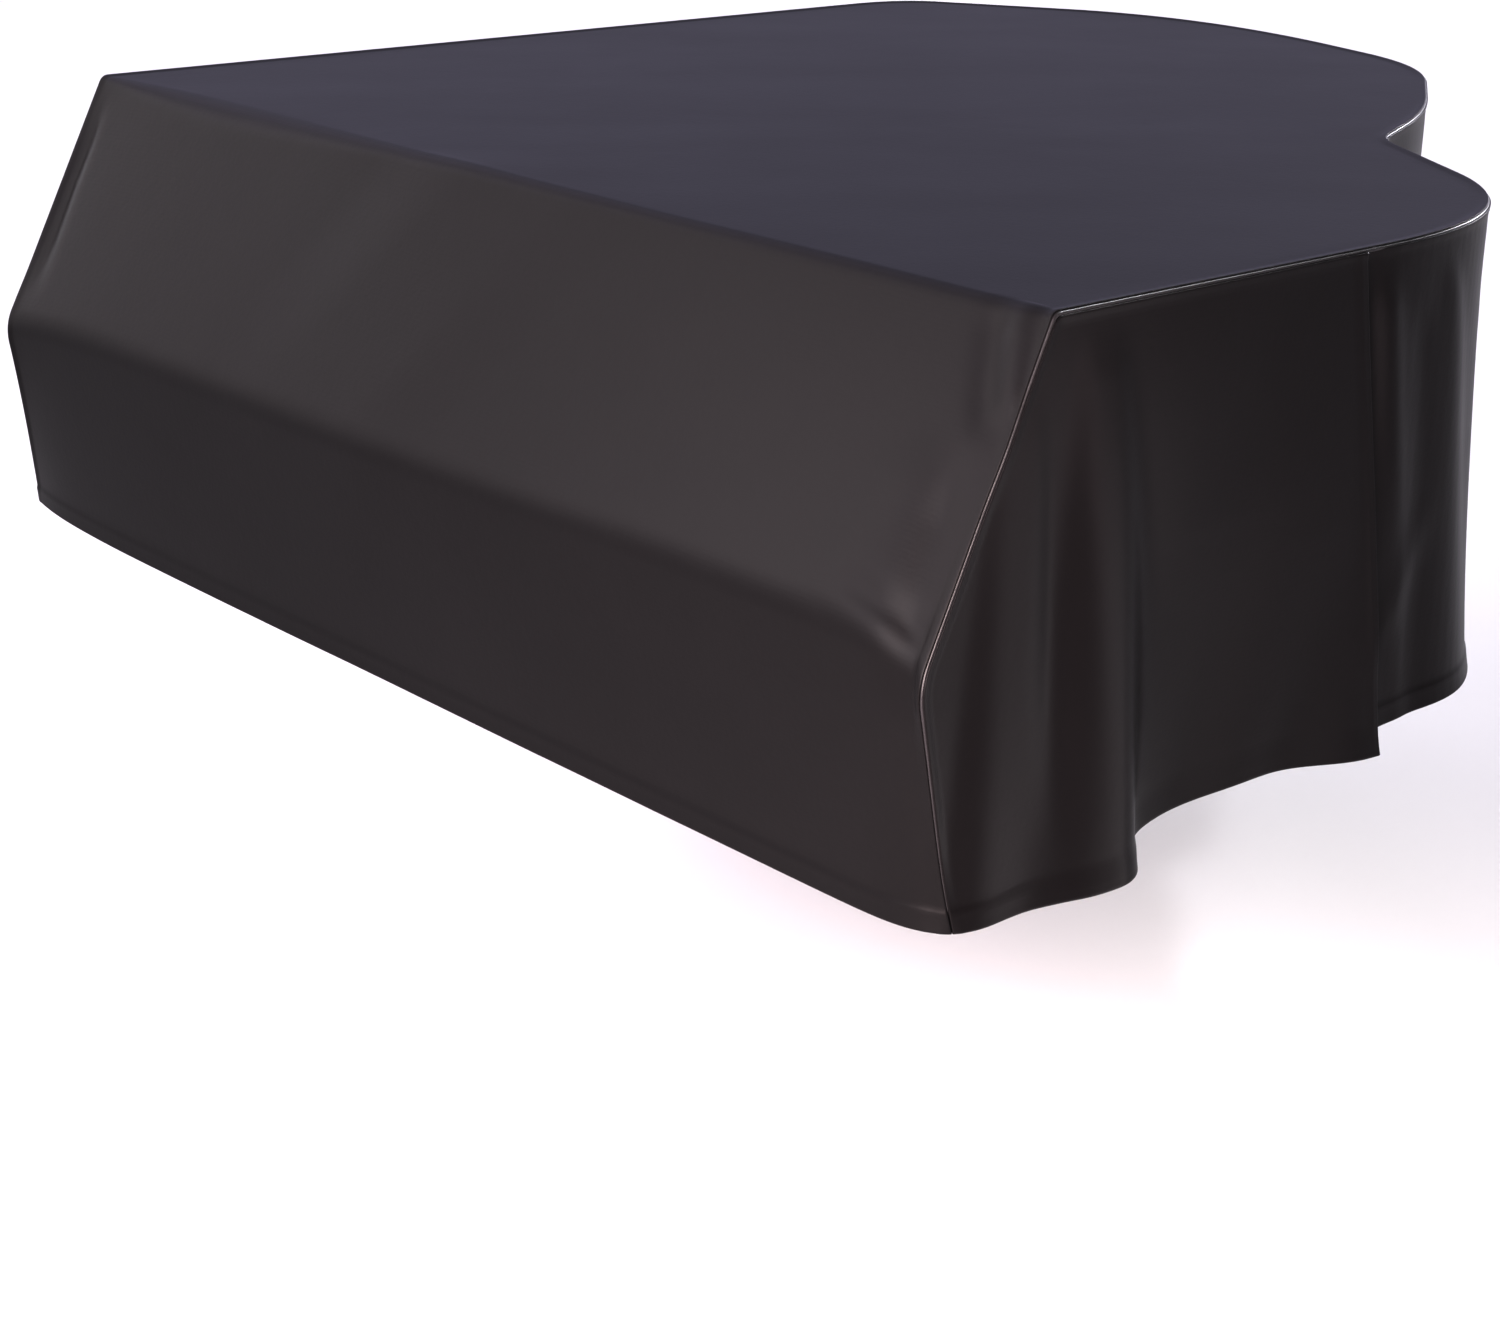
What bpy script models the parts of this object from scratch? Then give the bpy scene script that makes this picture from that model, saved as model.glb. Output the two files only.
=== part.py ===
"""Fitted cover for a grand piano, modelled as it hangs on the closed instrument.

The cover is five sewn pieces: one long cloth for the top, the sloping front and the front drop; a side
panel at each end of the keyboard; a wall that runs round the bentside, the tail and the spine; and one
strip of piping in the seam that joins them.  The instrument itself isn't part of it, so it is hollow.

Row frame: X from the bass side to the treble side, Y from the keyboard to the tail, Z up.  The origin is
on the underside of the top, midway across and FRONT_TO_ORIGIN behind the lid's front edge.  The shapes
are worked out in cutting coordinates: y = 0 at the lid's front edge, z = 0 on the top's outer face.
Distances round the rim, called s, start at the lid's front treble corner; ahead of it, s is just y.
"""
from collections import namedtuple

import bpy
import numpy as np

# ---------------------------------------------------------------- driving sizes, in metres
CLOTH = 0.002             # thickness of a panel
HEM = 0.022               # depth of the turned-up hem
HEM_EXTRA = 0.001         # what the turned-up hem adds to the thickness
HEM_STEP = 0.003          # over which that thickness comes in
GAP = 0.0003              # clearance between sewn neighbours
PIPING_RADIUS = 0.002
PIPING_SIDES = 8
PIPING_SINK = 0.0007      # how far the piping's centre sits inside the corner, along its diagonal
EDGE_CUT = PIPING_RADIUS + GAP + PIPING_SINK * np.sqrt(0.5)   # a sewn edge stops this short of the seam
HALF_WIDTH = 0.7525       # outer half width over the two straight sides
FRONT_TO_ORIGIN = 0.65    # from the lid's front edge back to the origin
SIDE_HEM = -0.508         # hem of the side panels
WALL_HEM = -0.479         # hem of the wall, shorter than the side panels
WALL_WAVE, WALL_WAVES_PER_M = 0.004, 0.49   # the wall's hem rises and dips a little
WALL_STEP = 0.045         # spacing of the wall's columns along the straights
WALL_LEVELS = [0.0, 0.06, 0.17, 0.33, 0.50, 0.68, 0.84]   # its rows, as shares of its height
OVERLAP = 0.060           # how far the wall runs on under a side panel
TUCK_AIR = 0.0008         # clearance under a side panel at the seam
TUCK_ROOM = 0.0042        # and what it gains a little lower down
TUCK_FADE = 0.045         # distance past the free edge over which the wall comes back out

# The rim from the treble side to the bass side.  A corner is rounded off over ease_in before it and
# ease_out after it; the low pair holds at the hem, where the cloth no longer follows a hollow.
Corner = namedtuple("Corner", "x y ease_in ease_out low_in low_out steps")
RIM = [
    Corner(HALF_WIDTH, 0.675, 0.245, 0.200, 0.245, 0.190, 9),    # shoulder
    Corner(0.4075, 0.888, 0.040, 0.040, 0.190, 0.100, 5),        # hollow where the bentside begins
    Corner(0.3225, 1.090, 0.110, 0.120, 0.110, 0.120, 4),        # bentside
    Corner(0.1095, 1.382, 0.120, 0.120, 0.120, 0.120, 6),        # treble corner of the tail
    Corner(-0.3635, 1.529, 0.300, 0.200, 0.300, 0.200, 8),       # crown of the tail
    Corner(-HALF_WIDTH, 1.300, 0.060, 0.090, 0.080, 0.110, 5),   # spine corner
]

# Section of the front: the corner between slope and drop, the hem, and how soft both folds are.
Section = namedtuple("Section", "fold_y fold_z hem_y hem_z ease_fold ease_top")
MIDDLE = Section(-0.140, -0.2560, -0.118, -0.5080, 0.030, 0.011)
TREBLE = Section(-0.135, -0.2840, -0.090, -0.5090, 0.030, 0.006)
BASS = Section(-0.144, -0.2760, -0.098, -0.5050, 0.030, 0.006)
TREBLE_REACH = 0.024      # how far in from each seam its own section is felt
BASS_REACH = 0.085
FOLD_RISE = 0.009         # the lower fold climbs this much towards the treble side
RISE_FROM, RISE_OVER = -0.10, 0.60
SOFT_TOP = 0.015          # extra roundness of the upper fold, towards the bass side
SOFT_PLACE, SOFT_WIDTH = -0.50, 0.28
DROP_STEPS, FOLD_STEPS, SLOPE_STEPS, LID_FOLD_STEPS, TOP_STEPS = 5, 4, 10, 4, 8
SPREAD_EASE = 0.25        # columns of the long cloth crowd this much towards its two seams

# A fold runs from its top down to the hem: where it starts and ends round the rim, the height it starts
# at, its half widths, and how far it stands out (or, below zero, falls in) at both ends.
Fold = namedtuple("Fold", "top_s foot_s top_z top_width foot_width top_out foot_out")
TREBLE_FOLDS = [
    Fold(-0.030, -0.007, -0.06, 0.020, 0.061, 0.002, 0.017),    # soft ridge beside the front seam
    Fold(0.028, 0.089, -0.02, 0.012, 0.054, 0.003, 0.038),      # ridge that fans from the corner
    Fold(0.030, 0.048, -0.06, 0.014, 0.022, -0.004, -0.007),    # valley between the two
    Fold(0.200, 0.236, -0.20, 0.100, 0.119, 0.0, -0.040),       # hem swings in under the case
    Fold(0.370, 0.383, -0.24, 0.060, 0.065, 0.0, -0.020),
]
RIM_FOLDS = [
    Fold(0.445, 0.500, -0.01, 0.014, 0.040, 0.004, 0.003),      # hangs from the shoulder
    Fold(0.545, 0.640, -0.01, 0.014, 0.070, 0.004, 0.016),
    Fold(0.500, 0.560, -0.05, 0.018, 0.030, -0.003, -0.004),
    Fold(0.700, 0.745, -0.05, 0.040, 0.100, 0.0, 0.026),        # round of the shoulder
    Fold(0.880, 0.885, -0.08, 0.030, 0.050, 0.0, -0.010),
    Fold(1.040, 1.035, -0.02, 0.022, 0.055, 0.004, 0.015),      # spare cloth in the hollow
    Fold(1.125, 1.130, -0.03, 0.020, 0.045, -0.002, -0.008),
    Fold(1.230, 1.220, -0.06, 0.030, 0.055, 0.002, 0.012),
    Fold(1.400, 1.420, -0.10, 0.040, 0.070, 0.0, -0.008),
    Fold(1.560, 1.570, -0.03, 0.030, 0.070, 0.003, 0.018),      # treble corner of the tail
    Fold(1.760, 1.740, -0.12, 0.050, 0.060, 0.0, -0.009),
    Fold(1.950, 1.960, -0.08, 0.040, 0.075, 0.001, 0.012),
    Fold(2.160, 2.150, -0.10, 0.050, 0.060, 0.0, -0.008),
    Fold(2.480, 2.490, -0.03, 0.030, 0.080, 0.003, 0.020),      # spine corner
    Fold(2.680, 2.660, -0.12, 0.050, 0.070, 0.0, -0.010),
    Fold(2.860, 2.880, -0.09, 0.040, 0.065, 0.001, 0.009),
    Fold(3.060, 3.050, -0.14, 0.050, 0.070, 0.0, -0.008),
    Fold(3.240, 3.260, -0.10, 0.040, 0.060, 0.001, 0.008),
]
BASS_FOLDS = [  # s here is the distance back from the lid's front bass corner
    Fold(-0.090, -0.085, -0.20, 0.050, 0.070, 0.0, 0.040),      # flare at the front seam
    Fold(0.040, 0.100, -0.03, 0.014, 0.060, 0.003, 0.022),
    Fold(0.190, 0.220, -0.22, 0.070, 0.090, 0.0, -0.026),
]
LEAN_POWER, WIDEN_POWER, SWELL_POWER = 0.6, 0.8, 1.4   # how a fold drifts, widens and swells on the way down
FOLD_ONSET = 0.12         # share of its run over which a fold comes out of the flat cloth

# Free rear edge of a side panel, at the rim and at the hem, and the soft lift of its hem.
SidePanel = namedtuple("SidePanel", "section hand slit_top slit_foot lift lift_s lift_width")
TREBLE_SIDE = SidePanel(TREBLE, 1.0, 0.400, 0.499, 0.014, 0.340, 0.150)
BASS_SIDE = SidePanel(BASS, -1.0, 0.400, 0.480, 0.006, 0.220, 0.120)
REAR_STEPS = 13           # columns of a side panel behind the lid's front corner
HEM_BLEND = 0.15          # share of its hem over which it comes to the side's own height

# Soft dents and ridges on the slope: place across, share of the slope from its top, half widths across
# and down, and how far they stand out.
Dent = namedtuple("Dent", "x down half_x half_down out")
SLOPE_DENTS = [
    Dent(0.705, 0.16, 0.012, 0.14, 0.0030),
    Dent(0.724, 0.86, 0.016, 0.16, 0.0035),
    Dent(0.680, 0.60, 0.022, 0.30, -0.0020),
    Dent(-0.722, 0.45, 0.016, 0.55, 0.0030),
    Dent(-0.100, 0.55, 0.350, 0.35, -0.0030),
]
DENT_MARGIN = 0.012       # dents fade out this far from a seam


def smooth(t):
    """Ease from 0 to 1: three t squared less two t cubed, held at both ends."""
    t = np.clip(t, 0.0, 1.0)
    return t * t * (3.0 - 2.0 * t)


def bell(distance, width):
    """Bell curve, 1 at no distance."""
    return np.exp(-(distance / width) ** 2)


def mix(a, b, share):
    """Straight blend from a to b."""
    return a + (b - a) * share


def unit(v):
    """Vectors scaled to length one, along the last axis."""
    return v / np.linalg.norm(v, axis=-1, keepdims=True)


def shares(steps):
    """Evenly spaced shares after 0, up to and with 1."""
    return np.linspace(0.0, 1.0, steps + 1)[1:]


def soft_corner(start, corner, end, share):
    """Quadratic curve that leaves start towards corner and arrives at end, for shares 0 to 1."""
    keep = 1.0 - share
    return keep ** 2 * start + 2.0 * keep * share * corner + share ** 2 * end


def arc_lengths(path):
    """Distance run along a path at each of its points."""
    return np.concatenate([[0.0], np.cumsum(np.linalg.norm(np.diff(path, axis=0), axis=1))])


# ---------------------------------------------------------------- the rim, seen from above
def rim_path(straight_step=None, low=False):
    """Points round the rim, treble side to bass side: straights joined by soft corners.

    The stations on the corners are the same at every straight_step, so pieces that share the rim meet
    edge to edge; straight_step only adds more along the straights.
    """
    ends = np.array([(HALF_WIDTH, 0.0)] + [(c.x, c.y) for c in RIM] + [(-HALF_WIDTH, 0.0)])
    points = [ends[0]]
    for corner, before, here, after in zip(RIM + [None], ends, ends[1:], [*ends[2:], ends[-1]]):
        eases = (0.0, 0.0) if corner is None else (corner.ease_in, corner.ease_out)
        if low and corner is not None:
            eases = (corner.low_in, corner.low_out)
        start = here + eases[0] * unit(before - here)
        length = np.linalg.norm(start - points[-1])
        steps = 1 if straight_step is None else max(1, round(length / straight_step))
        points += list(mix(points[-1], start, shares(steps)[:, None]))
        if corner is not None:
            end = here + eases[1] * unit(after - here)
            points += list(soft_corner(start, here, end, shares(corner.steps)[:, None]))
    return np.array(points)


def rim_normals(path):
    """Outward directions of the rim in plan, square to its run."""
    run = unit(np.gradient(path, axis=0))
    return np.stack([run[:, 1], -run[:, 0]], axis=1)


RIM_LENGTH = arc_lengths(rim_path(WALL_STEP))[-1]


# ---------------------------------------------------------------- folds of the hanging cloth
def fold_heights(folds, s, z):
    """How far the cloth stands out at (s, z): the sum of one bell-shaped ridge or trough a fold.

    A fold's place, width and height all run from their top value to their foot value as z falls.
    """
    total = np.zeros(np.broadcast(s, z).shape)
    for f in folds:
        down = np.clip((f.top_z - z) / (f.top_z - SIDE_HEM), 0.0, 1.0)
        place = mix(f.top_s, f.foot_s, down ** LEAN_POWER)
        width = mix(f.top_width, f.foot_width, down ** WIDEN_POWER)
        height = mix(f.top_out, f.foot_out, down ** SWELL_POWER) * smooth(down / FOLD_ONSET)
        total = total + height * bell(s - place, width)
    return total


def relief(s, z):
    """Relief of all that hangs from the rim, so that a side panel and the wall beneath it agree."""
    return fold_heights(TREBLE_FOLDS + RIM_FOLDS, s, z) + fold_heights(BASS_FOLDS, RIM_LENGTH - s, z)


# ---------------------------------------------------------------- the front, seen from the side
def front_rows(fold, hem, ease_fold, ease_top):
    """Section of the front as rows of (y, z) from the hem to the top, for one or many columns.

    Two straights, the drop and the slope, joined by soft corners at the fold and at the lid's edge.
    """
    lid = np.zeros_like(fold)
    to_hem, to_lid = unit(hem - fold), unit(lid - fold)
    drop_top = fold + ease_fold * to_hem
    slope_foot = fold + ease_fold * to_lid
    slope_top = lid - ease_top * to_lid
    top_edge = lid + ease_top * np.array([1.0, 0.0])
    above_hem = hem - HEM * to_hem
    above_step = hem - (HEM + HEM_STEP) * to_hem
    rows = [hem, above_hem, above_step]
    rows += [mix(above_step, drop_top, t) for t in shares(DROP_STEPS)]
    rows += [soft_corner(drop_top, fold, slope_foot, t) for t in shares(FOLD_STEPS)]
    rows += [mix(slope_foot, slope_top, t) for t in shares(SLOPE_STEPS)]
    rows += [soft_corner(slope_top, lid, top_edge, t) for t in shares(LID_FOLD_STEPS)]
    return np.array(rows)


HEM_ROWS = slice(0, 2)
TURN_ROW = 2 + DROP_STEPS + FOLD_STEPS // 2   # where a side panel's front edge turns into its top edge


def seam_rows(section):
    """Side view of a front seam as rows of (y, z), hem to top."""
    fold = np.array([section.fold_y, section.fold_z])
    hem = np.array([section.hem_y, section.hem_z])
    return front_rows(fold, hem, section.ease_fold, section.ease_top)


def side_points(flat, hand):
    """Points of (y, z) on one side of the cover, set out from it by the folds."""
    s = flat[..., 0] if hand > 0 else RIM_LENGTH - flat[..., 0]
    across = hand * (HALF_WIDTH + relief(s, flat[..., 1]))
    return np.concatenate([across[..., None], flat], axis=-1)


def front_corners(x):
    """The front's fold and hem at each place across, and the roundness of its upper fold."""
    from_treble = np.exp(-(HALF_WIDTH - x) / TREBLE_REACH)
    from_bass = np.exp(-(HALF_WIDTH + x) / BASS_REACH)

    def across(size):
        middle = getattr(MIDDLE, size)
        return (middle + (getattr(TREBLE, size) - middle) * from_treble
                + (getattr(BASS, size) - middle) * from_bass)

    rise = FOLD_RISE * smooth((x - RISE_FROM) / RISE_OVER) * (1.0 - from_treble)
    fold = np.stack([across("fold_y"), across("fold_z") + rise], axis=1)
    hem = np.stack([across("hem_y"), across("hem_z")], axis=1)
    ease_top = across("ease_top") + SOFT_TOP * bell(x - SOFT_PLACE, SOFT_WIDTH) * (1.0 - from_bass)
    return fold, hem, ease_top[:, None]


# ---------------------------------------------------------------- outer faces of the pieces
def pulled_back(edge, within):
    """Sewn edge moved in towards the row within it, square to its run, to leave room for the piping."""
    run = unit(np.gradient(edge, axis=0))
    inward = within - edge
    inward = unit(inward - run * np.sum(inward * run, axis=-1, keepdims=True))
    return edge + inward * EDGE_CUT


def slope_dents(front):
    """Soft dents of the slope, square to it, zero on the seams and off the slope."""
    down = front[..., 2] / MIDDLE.fold_z
    height = sum(d.out * bell(front[..., 0] - d.x, d.half_x) * bell(down - d.down, d.half_down)
                 for d in SLOPE_DENTS)
    margin = smooth((HALF_WIDTH - np.abs(front[..., 0])) / DENT_MARGIN)
    out_of_slope = unit(np.array([0.0, MIDDLE.fold_z, -MIDDLE.fold_y]))
    return (height * margin * (down > 0.0))[..., None] * out_of_slope


def long_cloth():
    """The top, the slope and the drop: rows from the front hem to the tail, columns treble to bass."""
    rim = rim_path()
    lengths = arc_lengths(rim)
    share = (lengths[1:-1] - lengths[1]) / (lengths[-2] - lengths[1])
    spread = mix(share, smooth(share), SPREAD_EASE)
    treble, bass = (side_points(seam_rows(p.section), p.hand) for p in (TREBLE_SIDE, BASS_SIDE))
    fold, hem, ease_top = front_corners(mix(HALF_WIDTH, -HALF_WIDTH, spread))
    section = front_rows(fold, hem, MIDDLE.ease_fold, ease_top)
    section[:, 0], section[:, -1] = treble[:, 1:], bass[:, 1:]
    x = mix(treble[:, :1], bass[:, :1], spread[None, :])
    front = np.concatenate([x[..., None], section], axis=2)
    front = front + slope_dents(front)
    flat = mix(front[-1, :, :2], rim[1:-1], shares(TOP_STEPS)[:, None, None])
    top = np.concatenate([flat, np.zeros_like(flat[..., :1])], axis=2)
    grid = np.concatenate([front, top])
    sides = [pulled_back(grid[:, k], grid[:, n]) for k, n in ((0, 1), (-1, -2))]
    grid[-1] = pulled_back(grid[-1], grid[-2])
    grid[:, 0], grid[:, -1] = sides
    return grid


def coons_patch(south, north, west, east):
    """Patch between four edges: the two ruled surfaces added, less the ruled surface of its corners."""
    across, along = (mix(arc_lengths(a) / arc_lengths(a)[-1], arc_lengths(b) / arc_lengths(b)[-1], 0.5)
                     for a, b in ((south, north), (west, east)))
    across, along = across[None, :, None], along[:, None, None]
    ruled = mix(south[None], north[None], along) + mix(west[:, None], east[:, None], across)
    return ruled - mix(mix(south[0], south[-1], across), mix(north[0], north[-1], across), along)


def side_panel(panel):
    """A side panel: rows from its hem to the seam, columns from the front seam to its free rear edge."""
    seam = seam_rows(panel.section)
    west = seam[:TURN_ROW + 1]
    rear = mix(panel.section.ease_top, panel.slit_top, shares(REAR_STEPS))
    north = np.concatenate([seam[TURN_ROW:], np.column_stack([rear, np.zeros_like(rear)])])
    share = arc_lengths(north) / arc_lengths(north)[-1]
    s_hem = mix(panel.section.hem_y, panel.slit_foot, share)
    z_hem = mix(panel.section.hem_z, SIDE_HEM, smooth(share / HEM_BLEND))
    south = np.column_stack([s_hem, z_hem + panel.lift * bell(s_hem - panel.lift_s, panel.lift_width)])
    east = mix(south[-1], north[-1], (arc_lengths(west) / arc_lengths(west)[-1])[:, None])
    grid = side_points(coons_patch(south, north, west, east), panel.hand)
    sewn = np.concatenate([grid[:, 0], grid[-1, 1:]])
    within = np.concatenate([grid[:-1, 1], grid[-2:-1, 1], grid[-2, 1:]])
    sewn = pulled_back(sewn, within)
    grid[:, 0], grid[-1] = sewn[:len(grid)], sewn[len(grid) - 1:]
    return grid


def tucked(s, z, panel):
    """How deep the wall lies under a side panel: a cloth and some air, fading out past its free edge."""
    down = z / SIDE_HEM
    past = s - mix(panel.slit_top, panel.slit_foot, down) - 2.0 * HEM_STEP
    return (CLOTH + TUCK_AIR + TUCK_ROOM * smooth(down / FOLD_ONSET)) * (1.0 - smooth(past / TUCK_FADE))


def back_wall():
    """The wall: rows from the rim's seam down to its hem, columns round from treble to bass."""
    upper, low = rim_path(WALL_STEP), rim_path(WALL_STEP / 4.0, low=True)
    s, run = arc_lengths(upper), arc_lengths(low)
    lower = np.stack([np.interp(s / s[-1] * run[-1], run, low[:, axis]) for axis in (0, 1)], axis=1)
    keep = (s > TREBLE_SIDE.slit_top - OVERLAP) & (s < s[-1] - BASS_SIDE.slit_top + OVERLAP)
    upper_out, lower_out = rim_normals(upper)[keep], rim_normals(lower)[keep]
    upper, lower, s = upper[keep], lower[keep], s[keep]
    hem = WALL_HEM + WALL_WAVE * np.sin(2.0 * np.pi * WALL_WAVES_PER_M * s)
    rows = []
    for z in [hem * level for level in WALL_LEVELS] + [hem + HEM + HEM_STEP, hem + HEM, hem]:
        low_share = smooth(1.25 * z / WALL_HEM)[:, None]
        out = relief(s, z) - tucked(s, z, TREBLE_SIDE) - tucked(RIM_LENGTH - s, z, BASS_SIDE)
        facing = unit(mix(upper_out, lower_out, low_share))
        rows.append(np.column_stack([mix(upper, lower, low_share) + facing * out[:, None], z]))
    grid = np.array(rows)
    grid[0] = pulled_back(grid[0], grid[1])
    return grid


def piping_line():
    """The seam up one side, round the rim and down the other, with the way out of the cover at each point."""
    treble, bass = (side_points(seam_rows(p.section), p.hand) for p in (TREBLE_SIDE, BASS_SIDE))
    rim = rim_path(0.12)
    keep = rim[:, 1] > TREBLE.ease_top + 2.0 * PIPING_RADIUS
    level = np.zeros((keep.sum(), 1))
    line = np.concatenate([treble, np.hstack([rim[keep], level]), bass[::-1]])
    outward = np.concatenate([np.tile([1.0, 0.0, 0.0], (len(treble), 1)),
                              np.hstack([rim_normals(rim)[keep], level]),
                              np.tile([-1.0, 0.0, 0.0], (len(bass), 1))])
    return line, outward


# ---------------------------------------------------------------- meshes
def cloth_material(name, colour, roughness):
    """Principled cloth finish."""
    material = bpy.data.materials.new(name)
    material.use_nodes = True
    shader = material.node_tree.nodes["Principled BSDF"]
    shader.inputs["Base Color"].default_value = (*colour, 1.0)
    shader.inputs["Roughness"].default_value = roughness
    shader.inputs["Metallic"].default_value = 0.0
    return material


def add_object(name, points, faces, material):
    """New object from cutting coordinates, with smooth faces, put into the row frame."""
    mesh = bpy.data.meshes.new(name)
    mesh.from_pydata((points + [0.0, -FRONT_TO_ORIGIN, CLOTH]).tolist(), [], faces)
    mesh.update()
    mesh.shade_smooth()
    mesh.materials.append(material)
    bpy.context.scene.collection.objects.link(bpy.data.objects.new(name, mesh))


def grid_faces(index):
    """Four-sided faces of a grid of point numbers."""
    quads = np.stack([index[:-1, :-1], index[:-1, 1:], index[1:, 1:], index[1:, :-1]], axis=-1)
    return quads.reshape(-1, 4)


def sheet(name, grid, turn, hem_rows, material):
    """Closed panel from its outer face: the inner face lies a cloth behind it, more where it is hemmed.

    turn is +1 where rows and columns run anticlockwise seen from outside, and -1 where clockwise.
    """
    normal = turn * unit(np.cross(np.gradient(grid, axis=1), np.gradient(grid, axis=0)))
    thickness = np.full(grid.shape[:2] + (1,), CLOTH)
    thickness[hem_rows] += HEM_EXTRA
    points = np.concatenate([grid.reshape(-1, 3), (grid - normal * thickness).reshape(-1, 3)])
    index = np.arange(grid[..., 0].size).reshape(grid.shape[:2])
    loop = np.concatenate([index[0, :-1], index[:-1, -1], index[-1, :0:-1], index[:0:-1, 0]])
    ahead = np.roll(loop, -1)
    edge = np.stack([ahead, loop, loop + index.size, ahead + index.size], axis=-1)
    faces = np.concatenate([grid_faces(index), grid_faces(index)[:, ::-1] + index.size, edge])
    add_object(name, points, faces[:, ::int(turn)].tolist(), material)


def piping(name, material):
    """Round strip swept along the seam, its ends closed flat."""
    line, outward = piping_line()
    run = unit(np.gradient(line, axis=0))
    outward = unit(outward - run * np.sum(outward * run, axis=1, keepdims=True))
    upward = np.cross(outward, run)
    diagonal = unit(outward + upward)
    across = np.cross(run, diagonal)
    turn = (np.arange(PIPING_SIDES) * 2.0 * np.pi / PIPING_SIDES)[None, :, None]
    ring = np.cos(turn) * diagonal[:, None] + np.sin(turn) * across[:, None]
    points = (line - PIPING_SINK * diagonal)[:, None] + PIPING_RADIUS * ring
    index = np.arange(points[..., 0].size).reshape(points.shape[:2])
    faces = grid_faces(np.concatenate([index, index[:, :1]], axis=1)).tolist()
    faces += [index[0, ::-1].tolist(), index[-1].tolist()]
    add_object(name, points.reshape(-1, 3), faces, material)


def build():
    """Clear the scene and make the five pieces."""
    for item in list(bpy.data.objects):
        bpy.data.objects.remove(item, do_unlink=True)
    sheet("top_front_panel", long_cloth(), 1, HEM_ROWS, cloth_material("top_cloth", (0.020, 0.019, 0.021), 0.46))
    sheet("treble_side_panel", side_panel(TREBLE_SIDE), -1, HEM_ROWS,
          cloth_material("treble_cloth", (0.016, 0.015, 0.016), 0.50))
    sheet("bass_side_panel", side_panel(BASS_SIDE), 1, HEM_ROWS,
          cloth_material("bass_cloth", (0.016, 0.015, 0.016), 0.50))
    sheet("back_wall_panel", back_wall(), 1, slice(-2, None),
          cloth_material("wall_cloth", (0.016, 0.015, 0.016), 0.50))
    piping("seam_piping", cloth_material("piping_cloth", (0.030, 0.029, 0.031), 0.38))


build()
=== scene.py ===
"""A fitted grand piano cover, finished: black satin cloth, piping in its seams and stitched hems.

The instrument isn't shown, so the cover hangs in the air as it does on the closed lid.

Shapes are worked out in cutting coordinates, in metres: x from the bass side to the treble side, y = 0
at the lid's front edge and growing towards the tail, z = 0 on the inner face of the top.  Each cloth is
worked out as its inner face, and its thickness is added outwards.  Distances round the rim, called s,
start at the lid's front treble corner; ahead of that corner s is just y.
"""
from collections import namedtuple

import bpy
import numpy as np
from mathutils import Matrix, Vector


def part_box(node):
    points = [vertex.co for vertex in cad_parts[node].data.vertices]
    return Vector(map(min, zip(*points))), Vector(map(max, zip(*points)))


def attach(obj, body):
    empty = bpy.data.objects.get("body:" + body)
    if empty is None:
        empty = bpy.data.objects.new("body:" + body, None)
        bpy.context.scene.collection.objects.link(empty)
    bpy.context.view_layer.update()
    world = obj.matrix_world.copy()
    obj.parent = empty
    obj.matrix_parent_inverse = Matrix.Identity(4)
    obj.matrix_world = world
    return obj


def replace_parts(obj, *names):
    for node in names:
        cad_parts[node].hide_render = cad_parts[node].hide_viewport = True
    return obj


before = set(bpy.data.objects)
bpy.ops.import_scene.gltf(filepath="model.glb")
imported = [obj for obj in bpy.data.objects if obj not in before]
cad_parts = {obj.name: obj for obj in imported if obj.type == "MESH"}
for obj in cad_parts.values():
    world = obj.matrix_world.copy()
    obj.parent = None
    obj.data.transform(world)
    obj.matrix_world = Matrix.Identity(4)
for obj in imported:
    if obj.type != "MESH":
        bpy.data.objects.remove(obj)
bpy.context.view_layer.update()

# ---------------------------------------------------------------- sizes, in metres
TOP_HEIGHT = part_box("top_front_panel")[1].z    # height of z = 0 above the row's origin
FRONT_TO_ORIGIN = 0.65        # from the lid's front edge back to the row's origin
CLOTH = 0.0012                # thickness of the cloth
HEM_EXTRA = 0.0010            # what a turned-up hem adds to it
HEM_DEPTH = 0.020             # where a hem ends and its stitches run
HEM_STEP = 0.002              # over which its thickness comes in
PIPING_RADIUS = 0.0021
PIPING_SINK = 0.0007          # how far the piping's centre sits inside the corner, along its diagonal
SEWN_CUT = 0.0008             # a sewn edge stops about this short of the seam, beside the piping
SEAM_SWELL = 0.0016           # the cloth stands out this much more where it is sewn in
SEAM_ROLL = 0.011             # and lies flat again within this distance
STITCH_RIDGE = 0.0003         # low ridge outside a row of stitches
RIDGE_WIDTH = 0.0022          # half width of that ridge
HEM_CURL = 0.0020             # how far a hem's edge turns out
CURL_REACH = 0.030            # from how far above the edge
CURL_POWER = 1.6              # how late on the way down
CURL_EASE = 0.008             # it comes in over this distance from a sewn seam
RIPPLE_EASE = 0.03            # and so do the cloth's undulations over this one
CREASE_EASE = 0.010           # and its creases over this one
HALF_WIDTH = 0.7525           # from the middle line of the top to its straight sides
SIDE_HEM = -0.508             # height of the side panels' hem
WALL_HEM = -0.479             # height of the wall's hem
WALL_WAVE = 0.004             # slow rise and fall of the wall's hem
WALL_WAVES_PER_M = 0.49
SOFTENS = 1.25                # how soon, going down, the wall takes its softer low outline
OVERLAP = 0.060               # how far the wall runs on under a side panel, at the top
TUCK_CLOTH = 0.002            # room for the wall's own thickness under a side panel
TUCK_AIR = 0.0010             # more room for air between the two, at the top
TUCK_ROOM = 0.0024            # and still more lower down
TUCK_PAST = 0.006             # the wall stays tucked in this far past the free edge
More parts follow.
